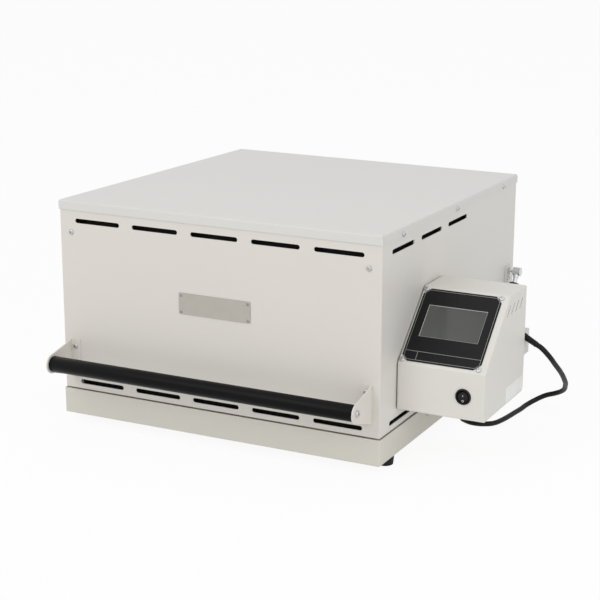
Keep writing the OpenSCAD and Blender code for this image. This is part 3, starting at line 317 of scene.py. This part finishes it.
def metal(name, colour, rough, spread=0.15, grain=(1, 1, 1), scale=900, scratch=0.00002):
    p = Paint(name, Metallic=1.0)
    spot = p.place(*grain)
    line = p.noise(spot, scale, 3, 0.6)
    cloud = p.noise(p.place(), 60, 3)
    base = tone(*colour)
    return p.use(Base_Color=p.mix(line * 0.6 + cloud * 0.4, shade(base, 0.8), shade(base, 1.12)),
                 Roughness=rough + spread * line + 0.08 * cloud,
                 Normal=p.bump(line, scratch, 0.6))


def zincCoat(name):  # spangled zinc
    p = Paint(name, Metallic=1.0)
    spot = p.place()
    flake = p.node("ShaderNodeSeparateColor", {"Color": p.cells(spot, 160, out="Color")})
    fine = p.noise(spot, 1500, 2)
    return p.use(Base_Color=p.mix(flake * 0.7 + fine * 0.3, tone(150, 152, 155), tone(196, 198, 201)),
                 Roughness=0.34 + 0.16 * flake + 0.08 * fine,
                 Normal=p.bump(flake * 0.4 + fine * 0.6, 0.00003, 0.5))


def darkSurface(name, colour, rough, spread=0.12, scale=1400, depth=0.00004, **constants):
    p = Paint(name, **constants)
    spot = p.place()
    fine = p.noise(spot, scale, 3)
    cloud = p.noise(spot, 14, 3)
    base = tone(*colour)
    return p.use(Base_Color=p.mix(cloud, shade(base, 0.8), shade(base, 1.3)),
                 Roughness=rough + spread * fine + 0.06 * cloud,
                 Normal=p.bump(fine, depth, 0.5))


def barCoat(name):  # satin black enamel with hairline scuffs along the bar
    p = Paint(name, Specular_IOR_Level=0.1)
    scuff = p.noise(p.place(3, 900, 900), 1, 4, 0.7)
    cloud = p.noise(p.place(), 9, 3)
    grit = p.noise(p.place(), 2200, 2)
    return p.use(Base_Color=p.mix(scuff * 0.5 + cloud * 0.5, tone(7, 7, 7), tone(15, 15, 15)),
                 Roughness=0.24 + 0.14 * cloud + 0.1 * grit,
                 Normal=p.bump(scuff * 0.4 + grit * 0.6, 0.00003, 0.5))


def firebrick(name, colour):  # light insulating brick, full of fine pores, with painted shade in them
    p = Paint(name, Specular_IOR_Level=0.2)
    spot = p.place()
    pore = p.cells(spot, 420)
    coarse = p.cells(spot, 150)
    cloud = p.noise(spot, 9, 5, 0.65)
    fine = p.noise(spot, 700, 3)
    poreAndShade = p.ramp(pore, (0.12, 0), (0.34, 1))
    pitAndShade = p.ramp(coarse, (0.08, 0), (0.2, 1))
    base = tone(*colour)
    body = p.mix(cloud, shade(base, 0.86), shade(base, 1.07))
    # the pores and pits are painted darker: painted shade in the holes, besides their bump
    return p.use(Base_Color=p.mix(poreAndShade * pitAndShade, shade(base, 0.62), body),
                 Roughness=0.84 + 0.12 * fine,
                 Normal=p.bump(poreAndShade * 0.5 + pitAndShade * 0.3 + fine * 0.2, 0.0006, 0.7))


def fibreBoard(name):
    p = Paint(name, Specular_IOR_Level=0.2)
    strand = p.noise(p.place(), 260, 6, 0.75)
    cross = p.noise(p.place(40, 900, 300), 1, 2)
    return p.use(Base_Color=p.mix(strand * 0.6 + cross * 0.4, tone(214, 210, 200), tone(240, 238, 231)),
                 Roughness=0.82 + 0.14 * strand,
                 Normal=p.bump(strand * 0.6 + cross * 0.4, 0.0003, 0.6))


def screenGlassWithPaintedGlare(name):  # dark display behind gloss glass, painted mid-grey as a reflection of the light, darker towards its top and its right
    p = Paint(name, Coat_Roughness=0.03, Specular_IOR_Level=0.3)
    spot = p.place()
    rise = p.node("ShaderNodeMapRange", {"Value": p.split(spot, 2), 1: 0.19, 2: 0.235, 3: 0.0, 4: 1.0})
    glareAcross = p.node("ShaderNodeMapRange", {"Value": p.split(spot, 0), 1: 0.24, 2: 0.34, 3: 0.0, 4: 1.0})
    smearAndGlare = p.noise(spot, 40, 4)
    # this colour mix, lighter at the foot and the left, is a painted reflection on the glass; the smear noise
    # also varies the roughness
    amount = rise * 0.25 + glareAcross * 0.6 + smearAndGlare * 0.15
    return p.use(Base_Color=p.mix(amount, tone(95, 97, 95), tone(66, 67, 65)),
                 Roughness=0.07 + 0.08 * smearAndGlare)


def circuitBoard(name):
    p = Paint(name, Specular_IOR_Level=0.5)
    spot = p.place()
    track = p.cells(spot, 260, distance="CHEBYCHEV", feature="DISTANCE_TO_EDGE")
    mask = p.ramp(track, (0.06, 1), (0.09, 0))
    return p.use(Base_Color=p.mix(mask, tone(16, 62, 38), tone(58, 112, 74)), Roughness=0.32 + 0.2 * mask)


def rubberSkin(name, colour=(16, 16, 17), rough=0.5):
    p = Paint(name, Specular_IOR_Level=0.25)
    spot = p.place()
    fine = p.noise(spot, 1800, 3)
    bloom = p.noise(spot, 30, 4)
    base = tone(*colour)
    return p.use(Base_Color=p.mix(bloom * 0.6 + fine * 0.4, shade(base, 0.75), shade(base, 1.5)),
                 Roughness=rough + 0.14 * fine + 0.08 * bloom,
                 Normal=p.bump(fine, 0.00006, 0.5))


def hookStrap(name):  # woven loops across and along the strap
    p = Paint(name, Sheen_Weight=0.3, Specular_IOR_Level=0.2)

    def weave(direction):
        sockets = {"Vector": p.place(), "Scale": 420, "Distortion": 1.5, "Detail": 1}
        return p.node("ShaderNodeTexWave", sockets, bands_direction=direction)

    loop = weave("X") * weave("Z")
    return p.use(Base_Color=p.mix(loop, tone(14, 14, 15), tone(46, 46, 48)), Roughness=0.8 + 0.15 * loop,
                 Normal=p.bump(loop, 0.0003, 0.8))


def heatWire(name):  # oxidised resistance wire
    p = Paint(name, Metallic=0.7)
    spot = p.place()
    scale = p.noise(spot, 220, 4, 0.7)
    return p.use(Base_Color=p.mix(scale, tone(58, 52, 50), tone(112, 104, 98)), Roughness=0.5 + 0.25 * scale,
                 Normal=p.bump(scale, 0.00005, 0.5))


# the front, side and top coats differ only by painted light on each face
frontCoatLitTone = powderCoat("coat front, painted light", powder["front"])
sideCoatLitTone = powderCoat("coat side, painted light", powder["side"])
topCoatLitTone = powderCoat("coat top, painted light", powder["top"])
coatBase = powderCoat("coat base", powder["base"])
coatBox = powderCoat("coat box", powder["box"])
brightSteel = metal("bright zinc screws", (196, 197, 199), 0.22)
plateSteel = metal("brushed plate", (186, 182, 174), 0.3, 0.2, (6, 6, 1700), 1, 0.00003)
rivetSteel = metal("rivet steel", (150, 150, 148), 0.3)
polished = metal("polished steel", (214, 214, 216), 0.09, 0.07, (1, 1, 1), 1400, 0.000008)
zinc = zincCoat("zinc plate")
brass = metal("plug brass", (205, 176, 105), 0.2, 0.12)
brick = firebrick("firebrick", (236, 226, 202))
hearth = fibreBoard("hearth board")
# the inner case is given near black so the vent slots in front of it read dark: painted shade
caseShadeBlack = darkSurface("inner case in painted shade", (22, 22, 22), 0.7, depth=0.00008)
tubeBlack = darkSurface("strut black", (13, 13, 14), 0.16, 0.08, 900, 0.00002, Coat_Weight=0.3)
plasticBlack = darkSurface("black plastic", (11, 11, 12), 0.26, 0.12, 1600, 0.00003, Specular_IOR_Level=0.25)
facePrint = darkSurface("face plate black", (17, 17, 18), 0.34, 0.1, 2400, 0.00002, Specular_IOR_Level=0.18)
relayBlack = darkSurface("relay plastic", (24, 24, 27), 0.42)
blockCream = darkSurface("terminal plastic", (196, 190, 170), 0.4)
screen = screenGlassWithPaintedGlare("screen glass")
board = circuitBoard("circuit board")
rubber = rubberSkin("black rubber")
leadSkin = rubberSkin("lead sheath", (8, 8, 9), 0.42)
barBlack = barCoat("bar black")
strap = hookStrap("hook and loop")
wire = heatWire("heating wire")
lineWhite = darkSurface("printed line", (150, 150, 150), 0.42)
markWhite = darkSurface("mark white", (214, 214, 214), 0.4)
labelWhite = darkSurface("label white", (238, 238, 236), 0.38, depth=0.00001)
gleamGrey = darkSurface("screen edge in the light", (186, 187, 184), 0.3)
bezelGrey = darkSurface("screen edge", (122, 124, 124), 0.3)

finishes = [
    (frontCoatLitTone, "hood_front_panel handle_brackets"),
    (sideCoatLitTone, "hood_left_panel hood_right_panel hood_rear_panel strut_hood_brackets"),
    (topCoatLitTone, "top_cover"),
    (coatBase, "base_pan strut_base_brackets control_bracket"),
    (coatBox, "box_shell box_back cord_outlet"),
    (brightSteel, "foot_screws base_rivets face_screws box_screws cover_screws panel_screws "
                  "hinge_rivets_hood handle_screws"),
    (rivetSteel, "plate_rivets"),
    (zinc, "hinge_leaf_base hinge_leaf_hood hinge_spacer hinge_pin hood_frame"),
    (caseShadeBlack, "inner_case"),
    (brick, "floor_bricks bricks_front bricks_rear bricks_left bricks_right bricks_top"),
    (hearth, "hearth_board"),
    (rubber, "feet strain_relief plug_body"),
    (leadSkin, "power_cord cord_coil"),
    (polished, "strut_base_studs strut_hood_studs strut_rod_left strut_rod_right thermocouple"),
    (tubeBlack, "strut_tube_left strut_tube_right"),
    (plasticBlack, "switch_body rocker_button"),
    (facePrint, "face_plate"),
    (screen, "screen_glass"),
    (board, "display_module control_board"),
    (relayBlack, "relays"),
    (blockCream, "terminal_block"),
    (barBlack, "handle_bar"),
    (strap, "cord_tie"),
    (plateSteel, "name_plate"),
    (brass, "plug_blades"),
    (wire, "elements"),
]


def giveFinish(piece, material):
    if not piece.material_slots:
        piece.data.materials.append(material)
    for slot in piece.material_slots:
        slot.material = material
    return piece


for material, names in finishes:
    for name in names.split():
        giveFinish(nodes[name], material)
unfinished = sorted(set(nodes) - {name for _, names in finishes for name in names.split()})
print("finishes given; nodes without one:", unfinished)

# Handle bar, turned with broken edges at its ends

bar = dict(half=265.3, radius=12.7, edge=1.0, corner=0.3, steps=96, y=-343, z=113)


def makeBar(v):
    bm = bmesh.new()
    h, r, e = v["half"], v["radius"], v["edge"]
    c = e * v["corner"]
    lathe(bm, [(0, -h), (r - e, -h), (r - c, -h + c), (r, -h + e), (r, -h / 3), (r, h / 3), (r, h - e),
               (r - c, h - c), (r - e, h), (0, h)], v["steps"])
    piece = finishMesh("handleBar", bm, "hood", turn=Matrix.Rotation(pi / 2, 4, "Y"),
                       place=at(0, v["y"], v["z"]))
    giveFinish(piece, barBlack)
    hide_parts("handle_bar")


makeBar(bar)

# Mains lead pieces

relief = dict(ribs=5, root=5.4, tip=4.8, length=24, inner=5, groove=0.6, collar=4, firstRib=4.6, ribless=6,
              foot=0.3, crest=0.42, end=0.95, taper=0.1, lip=0.6, lipIn=0.5, steps=40)


def makeRelief(v):
    bm = bmesh.new()
    profile = [(0, -v["inner"]), (v["root"], -v["inner"]), (v["root"], v["collar"])]
    step = (v["length"] - v["ribless"]) / v["ribs"]
    for i in range(v["ribs"]):
        start = v["firstRib"] + i * step
        r = v["root"] + (v["tip"] - v["root"]) * (i + 0.5) / v["ribs"]
        profile += [(r - v["groove"], start), (r - v["groove"], start + step * v["foot"]),
                    (r, start + step * v["crest"]), (r - v["taper"], start + step * v["end"])]
    profile += [(v["tip"] - v["taper"], v["length"] - v["lip"]), (v["tip"] - v["lipIn"], v["length"]),
                (0, v["length"])]
    lathe(bm, profile, v["steps"])
    piece = finishMesh("leadRelief", bm, "root",
                       turn=Matrix.Rotation(radians(90 + lead["tilt"]), 4, "Y"), place=at(*lead["outlet"]))
    giveFinish(piece, rubber)
    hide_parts("strain_relief")
    return piece


strapSize = dict(wide=13, thick=1.0, inner=33.5, outer=58.2, low=0.15, high=19.7, round=3.5, segments=5)


def makeTie(v):
    bm = bmesh.new()
    x, y, _ = lead["coil"]
    mid = at(x, y, 0)
    corners = [(v["inner"], v["low"]), (v["outer"], v["low"]), (v["outer"], v["high"]),
               (v["inner"], v["high"])]
    bm.faces.new([bm.verts.new((0, a / 1000, b / 1000)) for a, b in corners])
    bmesh.ops.bevel(bm, geom=list(bm.verts), offset=v["round"] / 1000, segments=v["segments"], profile=0.5,
                    affect="VERTICES", material=-1)
    hollow(bm, bm.faces[:][0], v["thick"], (v["wide"], 0, 0))
    bmesh.ops.translate(bm, vec=(mid.x - v["wide"] / 2000, mid.y, 0), verts=bm.verts)
    piece = finishMesh("leadTie", bm, "root")
    giveFinish(piece, strap)
    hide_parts("cord_tie")
    return piece


reliefPiece = makeRelief(relief)
tiePiece = makeTie(strapSize)
giveFinish(leadPiece, leadSkin)
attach(leadPiece, "root")
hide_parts("power_cord", "cord_coil")

# Wound heating wires in the grooves of the sides and the back

coils = dict(radius=3.7, wire=0.65, pitch=3.6, perTurn=8, heights=(116, 174, 232), sideX=203.7, sideHalf=190,
             backY=213.7, backHalf=180)


def woundWire(v, start, way, across, up, length):
    count = int(length / v["pitch"] * v["perTurn"])
    line = []
    for i in range(count + 1):
        a = 2 * pi * i / v["perTurn"]
        line.append(start + way * (length * i / count) + (across * cos(a) + up * sin(a)) * v["radius"])
    return [at(*p) for p in line]


def makeCoils(v):
    lines = []
    x, y, z = Vector((1, 0, 0)), Vector((0, 1, 0)), Vector((0, 0, 1))
    for height in v["heights"]:
        for side in (-1, 1):
            start = Vector((side * v["sideX"], -v["sideHalf"], height))
            lines.append(woundWire(v, start, y, x, z, 2 * v["sideHalf"]))
        start = Vector((-v["backHalf"], v["backY"], height))
        lines.append(woundWire(v, start, x, y, z, 2 * v["backHalf"]))
    piece = curvePiece("heatingWires", lines, v["wire"] / 1000, "POLY", 0, 1)
    giveFinish(piece, wire)
    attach(piece, "hood")
    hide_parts("elements")


makeCoils(coils)
print("heating wires wound")

# Printed lines on the face plate, the screen's edge with a painted highlight along its top and left, the marks
# on the rocker and the blank side label

printed = dict(inset=2.7, line=0.6, lift=0.01, rise=0.07, join=2.4, cut=6.3, stripHigh=15.3, divider=20.6)
screenRim = dict(past=0.2, wide=0.7, foot=-0.25, top=0.22, gleam=0.8, gleamFoot=0.2, gleamTop=0.27)


def facePiece(name, bm, material):
    giveFinish(finishMesh(name, bm, "root", smooth=False, turn=onSlope()), material)


def makeFaceLines(v):
    low, high = slope["faceThick"] + v["lift"], slope["faceThick"] + v["rise"]
    w, h = slope["faceWide"] - 2 * v["inset"], slope["faceHigh"] - 2 * v["inset"]
    foot = slope["mid"] - h / 2
    bm = bmesh.new()
    outlineRing(bm, cutRectangle(w, h, v["cut"], slope["mid"]), v["line"], low, high)
    facePiece("faceBorder", bm, lineWhite)
    bm = bmesh.new()
    short = v["join"] * v["line"]  # both lines end just inside the border
    addLine(bm, (0, foot + v["stripHigh"]), w - short, v["line"], low, high)
    middle = (v["divider"] - w / 2, foot + v["stripHigh"] / 2)
    addLine(bm, middle, v["line"], v["stripHigh"] - short, low, high)
    facePiece("faceStrip", bm, lineWhite)


def makeScreenEdge(v):
    top, up, g = slope["faceThick"], slope["screenUp"], v["gleam"]
    wide, high = slope["screenWide"] + v["past"], slope["screenHigh"] + v["past"]
    bm = bmesh.new()
    outlineRing(bm, rectangle(wide, high, up), v["wide"], top + v["foot"], top + v["top"])
    facePiece("screenEdge", bm, bezelGrey)
    # a light grey line along the screen's top and left edges: painted highlight
    bm = bmesh.new()
    low, crest = top + v["gleamFoot"], top + v["gleamTop"]
    addLine(bm, (0, up + high / 2 - g / 2), wide, g, low, crest)
    addLine(bm, (g / 2 - wide / 2, up - g / 2), g, high - g, low, crest)
    facePiece("screenGleam", bm, gleamGrey)


rocker = dict(x=389, y=-229.5, z=124.7, rest=8, tilt=11.4, on=(2.4, 4.93), off=(5.6, 5.57),
              barWide=0.8, barHigh=3, barThick=0.16, barSoft=0.05, ring=1.55, ringBand=0.5, ringThick=0.1,
              steps=32)


def rockerSpot(v, side):
    pivot = Matrix.Translation(at(v["x"], v["y"], v["z"])) @ Matrix.Rotation(radians(v["rest"]), 4, "X")
    up, out = v["on"] if side > 0 else v["off"]
    place = Matrix.Translation((0, -out / 1000, side * up / 1000))
    return pivot @ place @ Matrix.Rotation(radians(90 + side * v["tilt"]), 4, "X")


def rockerPiece(name, bm, side):
    giveFinish(finishMesh(name, bm, "rocker", turn=rockerSpot(rocker, side)), markWhite)


def makeRockerMarks(v):
    bm = bmesh.new()
    size = (v["barWide"] / 1000, v["barHigh"] / 1000, v["barThick"] / 1000, 1)
    roundBlock(bm, Matrix.Diagonal(size), v["barSoft"])
    rockerPiece("rockerOnMark", bm, 1)
    bm = bmesh.new()
    circle = bmesh.ops.create_circle(bm, segments=v["steps"], radius=v["ring"] / 1000, cap_ends=True)
    hollow(bm, circle["verts"][0].link_faces[0], v["ringBand"], (0, 0, v["ringThick"]), even=False)
    rockerPiece("rockerOffMark", bm, -1)


label = dict(x=422.62, thick=0.15, y=(-137, -60.5), z=(91, 115), edge=0.05)


def makeLabel(v):
    bm = bmesh.new()
    low, high = at(v["x"], v["y"][0], v["z"][0]), at(v["x"] + v["thick"], v["y"][1], v["z"][1])
    roundBlock(bm, Matrix.Translation((low + high) / 2) @ Matrix.Diagonal((*(high - low), 1)), v["edge"])
    giveFinish(finishMesh("sideLabel", bm, "root", smooth=False), labelWhite)


makeFaceLines(printed)
makeScreenEdge(screenRim)
makeRockerMarks(rocker)
makeLabel(label)
print("printed lines and marks made")

# Floor, lamps and world

studio = dict(world=0.62, floorGlow=0.92, floorSize=40, floorTone=0.93, floorRough=0.9,
              key=38, keyAt=(-1.1, -3.1, 2.7), keySize=2.4,
              top=11, topAt=(0.2, -0.2, 3.2), topSize=2.6,
              fill=18, fillAt=(2.8, -1.6, 1.3), fillSize=2.0, aim=(0.0, 0.0, 0.2))


def addFloor(v):
    bm = bmesh.new()
    bmesh.ops.create_grid(bm, x_segments=1, y_segments=1, size=v["floorSize"])
    mesh = bpy.data.meshes.new("floor")
    bm.to_mesh(mesh)
    bm.free()
    floor = bpy.data.objects.new("floor", mesh)
    scene.collection.objects.link(floor)
    grey = v["floorTone"]
    p = Paint("floor", Base_Color=(grey, grey, grey, 1), Roughness=v["floorRough"], Specular_IOR_Level=0.0)
    direct = p.node("ShaderNodeLightPath", {}, out="Is Camera Ray")
    mirrored = p.node("ShaderNodeLightPath", {}, out="Is Glossy Ray")
    glow = p.node("ShaderNodeEmission", {"Color": (1, 1, 1, 1), "Strength": 1.0})
    surface = Value(p, p.shader.outputs[0])
    both = p.node("ShaderNodeMixShader", {0: (direct + mirrored) * v["floorGlow"], 1: surface, 2: glow})
    p.tree.links.new(both.socket, p.tree.nodes["Material Output"].inputs[0])
    mesh.materials.append(p.material)


def addLamp(name, power, place, size, aim):
    data = bpy.data.lights.new(name, "AREA")
    data.energy, data.size = power, size
    lamp = bpy.data.objects.new(name, data)
    lamp.location = place
    lamp.rotation_euler = (Vector(aim) - Vector(place)).to_track_quat("-Z", "Y").to_euler()
    scene.collection.objects.link(lamp)


def addWorld(v):
    world = bpy.data.worlds.new("studio")
    world.use_nodes = True
    scene.world = world
    tree = world.node_tree
    path = tree.nodes.new("ShaderNodeLightPath")
    level = tree.nodes["Background"]
    level.inputs["Color"].default_value = (1, 1, 1, 1)
    seen = None
    for ray in ("Is Camera Ray", "Is Glossy Ray", "Is Transmission Ray"):
        if seen is None:
            seen = path.outputs[ray]
            continue
        more = tree.nodes.new("ShaderNodeMath")
        more.operation = "MAXIMUM"
        tree.links.new(seen, more.inputs[0])
        tree.links.new(path.outputs[ray], more.inputs[1])
        seen = more.outputs[0]
    strength = tree.nodes.new("ShaderNodeMapRange")
    strength.inputs["To Min"].default_value = v["world"]
    strength.inputs["To Max"].default_value = 1.0
    tree.links.new(seen, strength.inputs["Value"])
    tree.links.new(strength.outputs[0], level.inputs["Strength"])


addFloor(studio)
addWorld(studio)
for lampName in ("key", "top", "fill"):
    addLamp(lampName, studio[lampName], studio[lampName + "At"], studio[lampName + "Size"], studio["aim"])
scene.view_settings.view_transform = "Standard"
print("studio lit")
